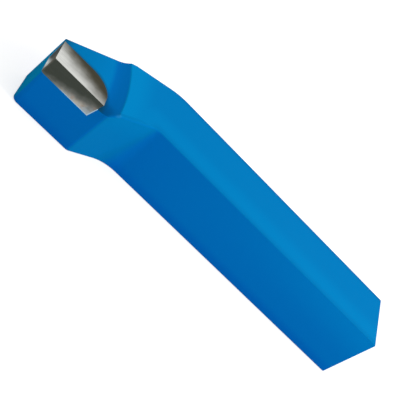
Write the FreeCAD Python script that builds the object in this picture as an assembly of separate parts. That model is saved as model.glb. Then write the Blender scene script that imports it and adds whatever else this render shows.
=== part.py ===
"""Right-hand offset side-turning tool: a painted steel shank with a brazed carbide tip.

Millimetres. The tool lies on its base with the rake side up (+Z), and the shank points along +Y to the head.
The cutting side is -X. While the pieces are made, Y counts from the rear end of the shank.
The finished pieces are then moved so that the origin is the middle of the straight length of the base.
"""
import math
import os

import FreeCAD, Part

V = FreeCAD.Vector

# Shank
shank_width = 20.0
shank_height = 20.0
overall_length = 125.0

# Head, with its lengths measured back from the nose
head_length = 35.0              # the rest of the shank is straight, and is where the tool is clamped
edge_offset = 19.5              # cutting edge from the shank's centre line
side_clearance = 5.0            # degrees, the left face leans in toward the base
front_clearance = 3.0           # degrees, the front face leans back toward the base
crank_angle = 35.5              # degrees from the shank's axis, face between shank and head
crank_clearance = 2.9           # left side, from the rear of the tip to the front of that face, at the top
crank_lead = 1.4                # how much nearer to the nose that face stands at the base
neck_setback = 35.0             # right side, where the first taper leaves the shank's side
corner_clearance = 3.0          # right side, from the rear of the tip to the second and steeper taper
front_taper = 30.2              # degrees from the shank's axis, right side of the head
front_land = 2.5                # steel beside the tip at the front

# Bend roundings in plan
crank_inner_radius_top = 5.0
crank_inner_radius_base = 14.0
crank_outer_radius = 2.0
neck_bend_radius = 20.0

# Milled step across the head, behind the tip
step_clearance = 3.0            # floor between the rear of the tip and the step's foot
step_centre_right = 6.4         # centre of the milled arc, to the right of the cutting edge
step_foot_radius = 55.0
step_wall_angle = 40.0          # degrees from the milled floor
step_foot_rounding = 7.0
floor_drop = 2.1                # below the shank's top, at the left end of the step's foot
floor_rise_right = 2.8          # degrees
floor_fall_front = 2.1          # degrees
cutter_height = 12.0

# Carbide tip, a plate that slopes down from the cutting edge
tip_length = 16.8
tip_width = 10.2
tip_thickness = 6.0
tip_corner_radius = 6.5         # rear corner away from the cutting edge
tip_side_draft = 7.0            # degrees, back and rear sides lean in toward the underside
side_rake = 7.5                 # degrees
nose_radius = 0.4

# Braze
braze_gap = 0.2                 # under, beside and behind the tip

# Broken edges of the steel
edge_radius = 0.4
front_corner_radius_top = 0.5
front_corner_radius_base = 1.7

margin = 10.0                   # how far cutting bodies reach past the steel
tolerance = 0.01                # distance at which a point counts as lying in a face

nose = V(-edge_offset, overall_length, shank_height)
straight_length = overall_length - head_length
corner_setback = tip_length + corner_clearance
crank_setback = tip_length + crank_clearance


def tangent(degrees):
    return math.tan(math.radians(degrees))


def sine(degrees):
    return math.sin(math.radians(degrees))


def cosine(degrees):
    return math.cos(math.radians(degrees))


def taper_reach(setback):
    """From the cutting edge to the steeper taper on the right, at a distance behind the nose."""
    return tip_width + front_land + setback * tangent(front_taper)


def flat_sided_solid(lower, upper):
    """Solid between two outlines whose matching sides are parallel, so that every face is flat."""
    faces = [Part.Face(Part.makePolygon(ring + [ring[0]])) for ring in (lower, upper)]
    for start in range(len(lower)):
        end = (start + 1) % len(lower)
        side = [lower[start], lower[end], upper[end], upper[start], lower[start]]
        faces.append(Part.Face(Part.makePolygon(side)))
    shell = Part.makeShell(faces)
    shell.sewShape()
    solid = Part.makeSolid(shell)
    if solid.Volume < 0:
        solid.reverse()
    return solid.removeSplitter()


def plan_corners(height, crank_start):
    """Corners of the tool in plan at one height."""
    half = shank_width / 2
    drop = shank_height - height
    left = nose.x + drop * tangent(side_clearance)
    front = nose.y - drop * tangent(front_clearance)
    crank_end = crank_start + (-half - left) / tangent(crank_angle)
    return [
        V(-half, 0, height),
        V(half, 0, height),
        V(half, nose.y - neck_setback, height),
        V(nose.x + taper_reach(corner_setback), nose.y - corner_setback, height),
        V(nose.x + taper_reach(nose.y - front), front, height),
        V(left, front, height),
        V(left, crank_end, height),
        V(-half, crank_start, height),
    ]


def upright_edge(shape, x, y):
    """The upright edge whose top stands nearest to a point in plan."""
    def distance(edge):
        top = max((vertex.Point for vertex in edge.Vertexes), key=lambda point: point.z)
        return math.hypot(top.x - x, top.y - y)

    def height(edge):
        return edge.BoundBox.ZLength

    uprights = [edge for edge in shape.Edges if height(edge) > shank_height / 2]
    return min(uprights, key=distance)


def rounded_upright(shape, x, y, top_radius, base_radius):
    """Rounds one upright edge, with its own radius at each end."""
    edge = upright_edge(shape, x, y)
    top_first = edge.firstVertex().Point.z > edge.lastVertex().Point.z
    if top_first:
        return shape.makeFillet(top_radius, base_radius, [edge])
    return shape.makeFillet(base_radius, top_radius, [edge])


def blank():
    """The forged bar with its head set over to the cutting side."""
    half = shank_width / 2
    crank_end = nose.y - crank_setback
    crank_start = crank_end - (edge_offset - half) / tangent(crank_angle)
    base = plan_corners(0.0, crank_start + crank_lead)
    top = plan_corners(shank_height, crank_start)
    body = flat_sided_solid(base, top)
    body = rounded_upright(body, -half, crank_start, crank_inner_radius_top, crank_inner_radius_base)
    body = rounded_upright(body, nose.x, crank_end, crank_outer_radius, crank_outer_radius)
    body = rounded_upright(body, half, nose.y - neck_setback, neck_bend_radius, neck_bend_radius)
    return rounded_upright(body, nose.x, nose.y, front_corner_radius_top, front_corner_radius_base)


def step_cutter():
    """Wide angled milling cutter: its flat underside leaves the floor and its rim leaves the step."""
    rounding_reach = step_foot_rounding * tangent(step_wall_angle / 2)
    floor_end = V(step_foot_radius - rounding_reach, 0, 0)
    centre = floor_end + V(0, 0, step_foot_rounding)
    half_way = V(sine(step_wall_angle / 2), 0, -cosine(step_wall_angle / 2)) * step_foot_rounding
    full_way = V(sine(step_wall_angle), 0, -cosine(step_wall_angle)) * step_foot_rounding
    rim = V(step_foot_radius + cutter_height / tangent(step_wall_angle), 0, cutter_height)
    axis_foot = V(0, 0, 0)
    axis_head = V(0, 0, cutter_height)
    profile = Part.Wire([
        Part.makeLine(axis_foot, floor_end),
        Part.Arc(floor_end, centre + half_way, centre + full_way).toShape(),
        Part.makeLine(centre + full_way, rim),
        Part.makeLine(rim, axis_head),
        Part.makeLine(axis_head, axis_foot),
    ])
    cutter = Part.Face(profile).revolve(V(0, 0, 0), V(0, 0, 1), 360)
    cutter.rotate(V(0, 0, 0), V(0, 1, 0), -floor_rise_right)
    cutter.rotate(V(0, 0, 0), V(1, 0, 0), -floor_fall_front)
    ahead = step_foot_radius - tip_length - step_clearance
    rise = step_centre_right * tangent(floor_rise_right) - step_foot_radius * tangent(floor_fall_front)
    cutter.translate(nose + V(step_centre_right, ahead, rise - floor_drop))
    return cutter


def tip_outline(gap, height):
    """Outline of the tip, or of its seat with a gap, at one height over the rake face."""
    reach = gap + height * tangent(tip_side_draft)
    rear = -tip_length - reach
    right = tip_width + reach
    radius = tip_corner_radius + reach
    corner_centre = V(right - radius, rear + radius, height)
    arc_middle = corner_centre + V(1, -1, 0).normalize() * radius
    arc_start = V(right - radius, rear, height)
    arc_end = V(right, rear + radius, height)
    far_right = V(right, margin, height)
    far_left = V(-margin, margin, height)
    near_left = V(-margin, rear, height)
    return Part.Wire([
        Part.makeLine(near_left, arc_start),
        Part.Arc(arc_start, arc_middle, arc_end).toShape(),
        Part.makeLine(arc_end, far_right),
        Part.makeLine(far_right, far_left),
        Part.makeLine(far_left, near_left),
    ])


def tip_plate(gap, rise):
    """Plate under the cutting edge, open to the left and front, with a gap below, beside and behind."""
    plate = Part.makeLoft([tip_outline(gap, -tip_thickness - gap), tip_outline(gap, rise)], True, True)
    plate.rotate(V(0, 0, 0), V(0, 1, 0), side_rake)
    plate.translate(nose)
    return plate


def ground_flanks():
    """Everything behind the front face and to the right of the left face of the head, with the nose rounded."""
    depth = shank_height + margin
    rings = []
    for height in (-depth, margin):
        left = -height * tangent(side_clearance)
        front = height * tangent(front_clearance)
        rings.append([
            V(left, front, height),
            V(left, -overall_length, height),
            V(overall_length, -overall_length, height),
            V(overall_length, front, height),
        ])
    wedge = flat_sided_solid(rings[0], rings[1])
    wedge.translate(nose)
    return rounded_upright(wedge, nose.x, nose.y, nose_radius, nose_radius)


def in_front_taper(edge):
    """Whether both ends of an edge lie in the steep face on the right of the head."""
    def offset(point):
        return point.x - nose.x - taper_reach(nose.y - point.y)

    return all(abs(offset(vertex.Point)) < tolerance for vertex in edge.Vertexes)


def broken_edges(shape):
    """Outer edges of the shank and head that are not part of the tip's seat."""
    chosen = []
    for edge in shape.Edges:
        box = edge.BoundBox
        on_base = box.ZMax < edge_radius
        on_top = box.ZMin > shank_height - edge_radius
        at_rear = box.YMax < edge_radius
        if on_base or on_top or at_rear or in_front_taper(edge):
            chosen.append(edge)
    return chosen


def pieces():
    """The three pieces of the tool, seated face to face."""
    milled = blank().cut(step_cutter())
    flanks = ground_flanks()
    tip = tip_plate(0.0, 0.0).common(flanks)
    seat = tip_plate(braze_gap, margin)
    shank = milled.cut(seat)
    shank = shank.makeFillet(edge_radius, broken_edges(shank))
    braze = milled.common(seat).common(flanks).cut(tip_plate(0.0, margin))
    return {"steel_shank": shank, "carbide_tip": tip, "braze_layer": braze}


os.makedirs("parts", exist_ok=True)
for name, shape in pieces().items():
    shape = shape.removeSplitter()
    shape.translate(V(0, -straight_length / 2, 0))
    solid = shape.Solids[0]
    solid.exportStep(os.path.join("parts", name + ".step"))
    print(name, "solids", len(shape.Solids), "valid", solid.isValid(), "volume", round(solid.Volume, 1))
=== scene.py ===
import math
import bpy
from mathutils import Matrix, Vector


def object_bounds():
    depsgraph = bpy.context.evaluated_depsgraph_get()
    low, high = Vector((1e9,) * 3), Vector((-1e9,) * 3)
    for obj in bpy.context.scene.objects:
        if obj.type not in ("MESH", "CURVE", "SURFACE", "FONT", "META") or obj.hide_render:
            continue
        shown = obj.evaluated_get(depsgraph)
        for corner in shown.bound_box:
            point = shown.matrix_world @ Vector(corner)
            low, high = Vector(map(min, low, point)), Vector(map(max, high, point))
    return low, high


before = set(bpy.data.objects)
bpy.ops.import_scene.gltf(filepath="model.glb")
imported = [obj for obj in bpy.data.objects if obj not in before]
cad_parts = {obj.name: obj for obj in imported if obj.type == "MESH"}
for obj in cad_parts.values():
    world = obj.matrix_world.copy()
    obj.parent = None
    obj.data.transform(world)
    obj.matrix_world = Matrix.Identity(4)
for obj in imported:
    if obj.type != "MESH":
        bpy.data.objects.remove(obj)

from types import SimpleNamespace

import bpy
from mathutils import Matrix, Vector

cad_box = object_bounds()

mm = 0.001                      # the scene is in metres

# Camera, from a fit to the edges in the photograph
camera_position = Vector((-0.23483, 0.11878, 0.17220))
camera_target = Vector((-0.00528, 0.02000, 0.01000))
camera_roll = 57.71             # degrees round the line of sight
camera_lens = 94.47             # millimetres, on a sensor of the width below
sensor_width = 36.0
camera_near_limit = 10 * mm

# Floor and light, where a tone of 1 is white
floor_size = 6.0
floor_level = -0.05 * mm        # a hair under the base, so that the two don't share a plane
floor_tone = 0.52
floor_glow = 0.68               # added where the floor is seen, so that it looks white
world_tone = 0.53
white_tone = 1.0

# Measures of the tool that its finish follows, in millimetres
nose = Vector((cad_box[0].x, cad_box[1].y, cad_box[1].z)) / mm
tool_length = nose.y - cad_box[0].y / mm
shank_width = 20.0
shank_right = cad_box[1].x / mm - nose.x        # right side of the shank, from the nose
shank_left = shank_right - shank_width          # left side of the shank, from the nose
crank_angle = 35.5                              # degrees from the shank's axis
tip_corner_radius = 6.4


def landmark(right, behind, below):
    """The place that lies so many millimetres to the right of the nose, behind it and below it."""
    return nose + Vector((right, -behind, -below))


crank_front = landmark(0.0, 19.7, 0.0)          # front end of the crank's upper edge
cutter_axis = landmark(6.4, -35.2, 0.0)         # centre of the curved step, ahead of the tool
step_left_end = landmark(1.5, 21.7, 0.0)        # corner between step and crank, with a painted highlight
shaded_corner = landmark(0.5, 17.6, 2.0)       # left end of the step's foot, behind the tip, where the painted shade is darkest
tip_corner_centre = landmark(3.7, 10.3, 0.0)    # centre of the tip's rounded rear corner


def colour(red, green, blue):
    """A colour given in 0 to 255 steps, as the shader wants it."""
    def linear(step):
        value = step / 255
        if value <= 0.04045:
            return value / 12.92
        return ((value + 0.055) / 1.055) ** 2.4

    return (linear(red), linear(green), linear(blue), 1.0)


def grey(tone):
    """A colour without hue, from 0 for black to 1 for white."""
    return (tone, tone, tone, 1.0)


def fill_inputs(tree, node, inputs):
    """Gives each input of a node its value, or links it where that is the output of another node."""
    for name, value in inputs.items():
        if isinstance(value, bpy.types.NodeSocket):
            tree.links.new(value, node.inputs[name])
        else:
            node.inputs[name].default_value = value


def add_node(tree, kind, inputs=None, **settings):
    """Adds a node to a tree, with its inputs and settings."""
    node = tree.nodes.new(kind)
    for name, value in settings.items():
        setattr(node, name, value)
    fill_inputs(tree, node, inputs or {})
    return node


def add_math(tree, operation, first, second):
    """The result of a sum or comparison of two numbers."""
    return add_node(tree, "ShaderNodeMath", {0: first, 1: second}, operation=operation).outputs[0]


def add_mix(tree, share, first, second):
    """The first colour, with a share of the second. 6, 7 and 2 are the node's sockets for colours."""
    inputs = {0: share, 6: first, 7: second}
    return add_node(tree, "ShaderNodeMix", inputs, data_type="RGBA").outputs[2]


class Shader:
    """A material under construction, with short calls for the nodes it needs.

    Its places and distances are in millimetres.
    """

    def __init__(self, name):
        self.material = bpy.data.materials.new(name)
        self.material.use_nodes = True
        self.tree = self.material.node_tree
        in_metres = self.add("ShaderNodeTexCoord").outputs["Object"]
        self.position = self.vector("DIVIDE", in_metres, (mm, mm, mm))

    def add(self, kind, inputs=None, **settings):
        return add_node(self.tree, kind, inputs, **settings)

    def finish(self, **inputs):
        """Fills the inputs of the surface shader, and gives back the material."""
        by_name = {name.replace("_", " "): value for name, value in inputs.items()}
        fill_inputs(self.tree, self.tree.nodes["Principled BSDF"], by_name)
        return self.material

    def plus(self, first, second):
        return add_math(self.tree, "ADD", first, second)

    def minus(self, first, second):
        return add_math(self.tree, "SUBTRACT", first, second)

    def times(self, first, second):
        return add_math(self.tree, "MULTIPLY", first, second)

    def smaller(self, first, second):
        return add_math(self.tree, "MINIMUM", first, second)

    def greater(self, first, second):
        return add_math(self.tree, "MAXIMUM", first, second)

    def ramp(self, value, start, end, at_start=0.0, at_end=1.0):
        """Smooth step from one number to another, while a value goes from start to end."""
        inputs = {
            "Value": value,
            "From Min": start,
            "From Max": end,
            "To Min": at_start,
            "To Max": at_end,
        }
        return self.add("ShaderNodeMapRange", inputs, interpolation_type="SMOOTHSTEP").outputs["Result"]

    def mix(self, share, first, second):
        """The first colour, with a share of the second."""
        return add_mix(self.tree, share, first, second)

    def vector(self, operation, first, second):
        return self.add("ShaderNodeVectorMath", {0: first, 1: second}, operation=operation).outputs[0]

    def dot(self, first, second):
        inputs = {0: first, 1: second}
        return self.add("ShaderNodeVectorMath", inputs, operation="DOT_PRODUCT").outputs["Value"]

    def length(self, vector):
        return self.add("ShaderNodeVectorMath", {0: vector}, operation="LENGTH").outputs["Value"]

    def axes(self, vector):
        """The three components of a vector."""
        return self.add("ShaderNodeSeparateXYZ", {0: vector}).outputs

    def normal(self):
        """The three components of the surface's own direction."""
        return self.axes(self.add("ShaderNodeNewGeometry").outputs["Normal"])

    def offset_from(self, place):
        return self.vector("SUBTRACT", self.position, place)

    def distance_from(self, place):
        return self.length(self.offset_from(place))

    def from_nose(self):
        """How far a point lies to the right of the nose, behind it and below it."""
        return list(self.axes(self.vector("MULTIPLY", self.offset_from(nose), (1.0, -1.0, -1.0))))

    def noise(self, size, detail=3.0, stretch=(1.0, 1.0, 1.0)):
        """Noise from 0 to 1 whose features are about one size across."""
        place = self.vector("MULTIPLY", self.position, stretch)
        inputs = {"Vector": place, "Scale": 1.0 / size, "Detail": detail}
        return self.add("ShaderNodeTexNoise", inputs).outputs["Fac"]

    def wander(self, size, reach, detail=3.0):
        """A value that drifts over the surface, by up to half its reach to either side of zero."""
        return self.times(self.minus(self.noise(size, detail), 0.5), reach)

    def bump(self, height, depth):
        """Normal of a surface whose height varies by a depth."""
        inputs = {"Height": height, "Distance": depth * mm, "Strength": 1.0}
        return self.add("ShaderNodeBump", inputs).outputs["Normal"]


def paint_measures(shader):
    """Where a point of the paint lies and which way it faces, as values that its tones follow."""
    right, behind, below = shader.from_nose()
    normal = shader.normal()

    from_shank_edge = shader.minus(right, shank_left)
    angle = math.radians(crank_angle)
    crank_inward = (math.cos(angle), math.sin(angle), 0.0)
    from_crank_edge = shader.dot(shader.offset_from(crank_front), crank_inward)
    across_top = shader.greater(from_shank_edge, from_crank_edge)

    from_axis_in_plan = shader.vector("MULTIPLY", shader.offset_from(cutter_axis), (1.0, 1.0, 0.0))
    return SimpleNamespace(
        right=right,
        behind=behind,
        below=below,
        facing_front=normal["Y"],
        facing_up=normal["Z"],
        from_edge=shader.greater(across_top, below),      # edge between the top and the left side
        from_cutter_axis=shader.length(from_axis_in_plan),
        wander=shader.wander(6.0, reach=1.0, detail=2.0),
    )


def top_paint(shader, point, cloud):
    """Top, with painted light and shade: lightest behind the step and in a band along the left edge, and
    darker at its very edges.
    """
    # painted light and shade: these tones stand in for how the light falls across the top
    light = colour(0, 137, 203)
    plain = colour(0, 126, 194)
    right_edge = colour(0, 114, 183)
    left_edge = colour(0, 124, 191)
    crank_edge = colour(0, 127, 193)
    cloud_share = 0.5

    beside_band = shader.ramp(point.from_edge, 4.0, 9.8, 0.42, 1.0)
    behind_step = shader.ramp(point.from_cutter_axis, 58.5, 67.0)
    # painted light behind the step and along the left edge, with random clouds
    light_and_cloud = shader.smaller(beside_band, behind_step)
    light_and_cloud = shader.plus(light_and_cloud, shader.times(cloud, cloud_share))
    top = shader.mix(light_and_cloud, light, plain)
    # painted shade toward the right edge
    top = shader.mix(shader.ramp(point.right, shank_right - 2.2, shank_right), top, right_edge)

    # painted shade on the rounded left edge of the shank
    at_left_edge = shader.ramp(point.from_edge, 2.8, 0.3)
    on_shank = shader.ramp(point.behind, 29.0, 34.0)
    top = shader.mix(shader.times(at_left_edge, on_shank), top, left_edge)

    # painted shade along the crank's top edge
    strip_width = shader.ramp(point.behind, 33.0, 26.5, 0.0, 1.2)
    past_strip = shader.minus(point.from_edge, strip_width)
    return shader.mix(shader.ramp(past_strip, 0.2, -0.2), top, crank_edge)


def milled_paint(shader, point):
    """Floor and rounded step that the cutter left across the head, with the step's shadow painted as a dark
    band over the step and the floor at its foot; the floor is darker toward the front.
    """
    floor_rear = colour(0, 131, 201)
    floor_front = colour(0, 121, 185)
    # painted shadow of the step, over its slope and the floor at its foot
    step_shadow_foot = colour(0, 111, 189)
    step_shadow_top = colour(0, 124, 207)
    raggedness = 6.0

    ragged_behind = shader.minus(point.behind, shader.times(point.wander, raggedness))
    floor = shader.mix(shader.ramp(ragged_behind, 20.0, 2.0), floor_rear, floor_front)
    step_shadow = shader.mix(shader.ramp(point.from_cutter_axis, 53.0, 57.2), step_shadow_foot, step_shadow_top)
    return shader.mix(shader.ramp(point.from_cutter_axis, 50.8, 52.8), floor, step_shadow)


def side_paint(shader, point):
    """Faces that look sideways, forward or back, with painted light and shade: a deeper blue than the top,
    lighter toward the rear and the upper edge, darker near the base, and tones of their own on the crank and
    front faces.
    """
    # painted light and shade: these tones stand in for how the light falls on each side face
    head = colour(0, 127, 222)
    neck = colour(0, 128, 220)
    shank = colour(0, 132, 222)
    rear_light = colour(0, 146, 232)
    base_shade = colour(0, 121, 219)
    crank_top = colour(0, 137, 207)
    crank_base = colour(0, 132, 203)
    front = colour(0, 146, 200)

    side = shader.mix(shader.ramp(point.behind, 2.0, 22.0), head, neck)
    side = shader.mix(shader.ramp(point.behind, 34.0, 60.0), side, shank)
    # painted light toward the rear and the upper edge
    toward_rear = shader.ramp(point.behind, 50.0, tool_length)
    toward_top = shader.ramp(point.from_edge, 13.0, 0.0)
    side = shader.mix(shader.times(toward_rear, toward_top), side, rear_light)
    # painted shade near the base
    side = shader.mix(shader.ramp(point.below, 15.5, 19.0), side, base_shade)

    # painted light on the crank faces, lighter toward their top
    crank = shader.mix(shader.ramp(point.from_edge, 0.0, 9.0), crank_top, crank_base)
    side = shader.mix(shader.ramp(point.facing_front, -0.15, -0.45), side, crank)
    # painted shade on the front face
    return shader.mix(shader.ramp(point.facing_front, 0.7, 0.9), side, front)


def distance_past_tip(shader):
    """How far a point lies past the tip's right and rear edges and their round corner, from above."""
    outward = shader.vector("MULTIPLY", shader.offset_from(tip_corner_centre), (1.0, -1.0, 0.0))
    outward = shader.vector("MAXIMUM", outward, (0.0, 0.0, 0.0))
    return shader.minus(shader.length(outward), tip_corner_radius)


def pocket_shade_and_flux(shader, point, paint):
    """Painted shade in the pocket behind the tip's rear corner, a dark flux line along the tip's right and
    rear edges, and the top darker near the nose.
    """
    pocket_shade = colour(0, 70, 122)
    flux = colour(20, 76, 92)
    pocket_shade_raggedness = 3.0

    # painted shade in the pocket between the tip's rear and the step's foot
    reach = shader.plus(
        shader.distance_from(shaded_corner), shader.times(point.wander, pocket_shade_raggedness)
    )
    strength = shader.ramp(point.facing_up, 0.3, 0.6, 0.08, 0.6)
    paint = shader.mix(shader.times(shader.ramp(reach, 5.2, 1.0), strength), paint, pocket_shade)

    past_tip = shader.plus(distance_past_tip(shader), point.wander)
    beside_tip = shader.ramp(past_tip, 2.1, 0.8, 0.0, 0.60)
    at_nose = shader.ramp(point.behind, 3.5, 0.0, 0.0, 0.65)
    on_top = shader.ramp(point.facing_up, 0.5, 0.6)
    return shader.mix(shader.times(shader.greater(beside_tip, at_nose), on_top), paint, flux)


def corner_highlight(shader, point, paint):
    """Painted highlight: a pale spot on the sharp corner between step and crank."""
    highlight = colour(45, 150, 215)
    reach = shader.plus(shader.distance_from(step_left_end), point.wander)
    return shader.mix(shader.ramp(reach, 1.2, 0.3, 0.0, 0.5), paint, highlight)


def blue_paint():
    """Satin enamel on the shank. Its tone carries painted light and shade, by place and by facing, and
    varies at random in clouds.
    """
    shader = Shader("blue_enamel")
    point = paint_measures(shader)
    cloud = shader.wander(30.0, reach=1.0, detail=2.0)
    orange_peel = shader.noise(1.1, detail=2.0)

    on_step = shader.ramp(point.below, 0.1, 0.3)
    upper = shader.mix(on_step, top_paint(shader, point, cloud), milled_paint(shader, point))
    paint = shader.mix(shader.ramp(point.facing_up, 0.05, 0.45), side_paint(shader, point), upper)
    paint = pocket_shade_and_flux(shader, point, paint)
    paint = corner_highlight(shader, point, paint)

    satin = shader.ramp(cloud, -0.2, 0.2, 0.42, 0.50)
    matt_front = shader.ramp(point.facing_front, 0.7, 0.9)
    return shader.finish(
        Base_Color=paint,
        Roughness=shader.greater(satin, matt_front),
        Specular_IOR_Level=0.006,
        Normal=shader.bump(orange_peel, depth=0.006),
    )


def rake_tone(shader, right, behind, patches):
    """Rake face with a painted reflection: bright along the cutting edge and at the nose, and dark toward
    the braze.
    """
    bright = colour(231, 232, 228)
    dark_reflection = colour(86, 84, 73)
    slant = 0.43                # the painted dark reflection comes this much nearer to the edge per millimetre to the rear

    # painted reflection, fading toward the braze
    reflection_fade = shader.plus(shader.plus(right, patches), shader.times(behind, slant))
    brighter_nose = shader.ramp(behind, 3.0, 0.0, 0.0, 1.2)
    return shader.mix(shader.ramp(shader.minus(reflection_fade, brighter_nose), 2.2, 12.6), bright, dark_reflection)


def flank_tone(shader, behind, below, patches):
    """Left flank with a painted reflection: dark under the cutting edge and pale toward its lower edge."""
    dark = colour(60, 64, 58)
    mid_reflection = colour(95, 97, 92)
    pale_reflection_cool = colour(152, 162, 166)
    pale_reflection_warm = colour(173, 166, 155)
    scorched = colour(142, 104, 78)
    slant = 0.30                # the pale painted reflection reaches this much higher per millimetre to the rear

    lower = shader.plus(shader.plus(below, patches), shader.times(behind, slant))
    tint = shader.ramp(shader.noise(2.2, detail=2.0), 0.35, 0.65)
    # pale painted reflection toward the lower edge
    pale_reflection = shader.mix(tint, pale_reflection_cool, pale_reflection_warm)
    flank = shader.mix(shader.ramp(lower, 5.4, 7.7), dark, mid_reflection)
    flank = shader.mix(shader.ramp(lower, 7.0, 9.9), flank, pale_reflection)
    spots = shader.times(shader.noise(1.8, detail=2.0), shader.ramp(lower, 5.6, 7.5))
    return shader.mix(shader.ramp(spots, 0.55, 0.68, 0.0, 0.28), flank, scorched)


def front_tone(shader, right, below):
    """Front flank, dark, with a bright painted reflection in a stripe that runs down from the nose."""
    dark_left = colour(98, 97, 90)
    dark_right = colour(80, 84, 84)
    reflection_left = colour(188, 190, 185)
    reflection_right = colour(220, 231, 234)
    slant = 0.75                # the stripe falls by this much per millimetre to the right

    from_stripe = shader.minus(below, shader.times(right, slant))
    # painted reflection: a bright stripe across the dark flank
    stripe = shader.times(shader.ramp(from_stripe, 0.2, 2.7), shader.ramp(from_stripe, 5.4, 3.4))
    stripe = shader.times(stripe, shader.ramp(right, 0.6, 1.8))
    dark = shader.mix(shader.ramp(right, 3.5, 6.0), dark_left, dark_right)
    bright = shader.mix(shader.ramp(right, 2.0, 5.5), reflection_left, reflection_right)
    return shader.mix(stripe, dark, bright)


def ground_carbide():
    """Cemented carbide, streaked by the grinding wheel, with painted reflections on its rake and flanks."""
    streak_tone = colour(40, 40, 36)
    front_roughness = 0.75

    shader = Shader("ground_carbide")
    right, behind, below = shader.from_nose()
    normal = shader.normal()
    grain = shader.noise(0.5, detail=4.0)
    streaks = shader.noise(2.2, stretch=(3.0, 0.5, 3.0))
    patches = shader.wander(3.0, reach=3.0)

    facing_front = shader.ramp(normal["Y"], 0.4, 0.6)
    facing_up = shader.ramp(normal["Z"], 0.4, 0.6)
    flank = flank_tone(shader, behind, below, patches)
    carbide = shader.mix(facing_front, flank, front_tone(shader, right, below))
    carbide = shader.mix(facing_up, carbide, rake_tone(shader, right, behind, patches))
    carbide = shader.mix(shader.ramp(streaks, 0.35, 0.75, 0.0, 0.12), carbide, streak_tone)

    polish = shader.ramp(grain, 0.3, 0.7, 0.28, 0.40)
    return shader.finish(
        Base_Color=carbide,
        Metallic=1.0,
        Specular_Tint=grey(0.3),
        Roughness=shader.greater(polish, shader.times(facing_front, front_roughness)),
        Normal=shader.bump(grain, depth=0.004),
    )


def braze_metal():
    """Silvery braze at the flanks, stained and painted over on the rake side."""
    bare_dull = colour(135, 172, 190)
    bare_bright = colour(175, 203, 215)
    dark_front = colour(72, 88, 76)
    painted_over = colour(28, 62, 74)

    shader = Shader("braze_metal")
    behind = shader.from_nose()[1]
    grain = shader.noise(0.8)
    facing_up = shader.ramp(shader.normal()["Z"], 0.4, 0.6)
    bare = shader.mix(grain, bare_dull, bare_bright)
    bare = shader.mix(shader.ramp(behind, 10.0, 3.0), bare, dark_front)
    return shader.finish(
        Base_Color=shader.mix(facing_up, bare, painted_over),
        Metallic=shader.minus(1.0, facing_up),
        Roughness=shader.ramp(grain, 0.3, 0.7, 0.30, 0.50),
    )


def seen_directly(tree):
    """One where a surface is looked at, mirrored or seen through, and nothing where it lights the object."""
    rays = add_node(tree, "ShaderNodeLightPath").outputs
    seen = rays["Is Camera Ray"]
    for kind in ("Is Glossy Ray", "Is Transmission Ray"):
        seen = add_math(tree, "MAXIMUM", seen, rays[kind])
    return seen


def floor_material():
    """White floor that shows plain white to the camera and keeps the object's shadow."""
    material = bpy.data.materials.new("floor_white")
    material.use_nodes = True
    tree = material.node_tree
    tree.nodes.clear()
    glow = add_math(tree, "MULTIPLY", seen_directly(tree), floor_glow)
    lift = add_node(tree, "ShaderNodeEmission", {"Strength": glow})
    matt = add_node(tree, "ShaderNodeBsdfDiffuse", {"Color": grey(floor_tone)})
    both = add_node(tree, "ShaderNodeAddShader", {0: matt.outputs[0], 1: lift.outputs[0]})
    add_node(tree, "ShaderNodeOutputMaterial", {"Surface": both.outputs[0]})
    return material


def build_floor():
    mesh = bpy.data.meshes.new("floor")
    half = floor_size / 2
    outline = [(-half, -half), (half, -half), (half, half), (-half, half)]
    mesh.from_pydata([(x, y, floor_level) for x, y in outline], [], [(0, 1, 2, 3)])
    floor = bpy.data.objects.new("floor", mesh)
    bpy.context.scene.collection.objects.link(floor)
    floor.data.materials.append(floor_material())


def build_world():
    """Soft light from all round. Seen directly or in a reflection, it is plain white."""
    world = bpy.data.worlds.new("studio")
    bpy.context.scene.world = world
    world.use_nodes = True
    tree = world.node_tree
    light = add_mix(tree, seen_directly(tree), grey(world_tone), grey(white_tone))
    fill_inputs(tree, tree.nodes["Background"], {"Color": light})


def add_lamp(name, direction, distance, size, power):
    """A square area lamp that faces the middle of the view from one direction, in metres and watts."""
    lamp = bpy.data.lights.new(name, "AREA")
    lamp.shape = "SQUARE"
    lamp.size = size
    lamp.energy = power
    holder = bpy.data.objects.new(name, lamp)
    bpy.context.scene.collection.objects.link(holder)
    offset = Vector(direction).normalized() * distance
    holder.location = camera_target + offset
    holder.rotation_euler = offset.to_track_quat("Z", "Y").to_euler()


def build_camera():
    data = bpy.data.cameras.new("camera")
    data.sensor_width = sensor_width
    data.lens = camera_lens
    data.clip_start = camera_near_limit
    camera = bpy.data.objects.new("camera", data)
    bpy.context.scene.collection.objects.link(camera)
    aim = (camera_position - camera_target).to_track_quat("Z", "Y").to_matrix()
    roll = Matrix.Rotation(math.radians(camera_roll), 3, "Z")
    camera.matrix_world = Matrix.Translation(camera_position) @ (aim @ roll).to_4x4()
    bpy.context.scene.camera = camera


def dress(node, material):
    node.data.materials.clear()
    node.data.materials.append(material)


build_camera()
build_world()
build_floor()
add_lamp("key", direction=(-0.10, -0.80, 0.60), distance=1.0, size=0.4, power=5.4)
add_lamp("overhead", direction=(0.0, 0.0, 1.0), distance=1.0, size=1.6, power=2.4)
dress(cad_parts["steel_shank"], blue_paint())
dress(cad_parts["carbide_tip"], ground_carbide())
dress(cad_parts["braze_layer"], braze_metal())

bpy.context.scene.view_settings.view_transform = "Standard"
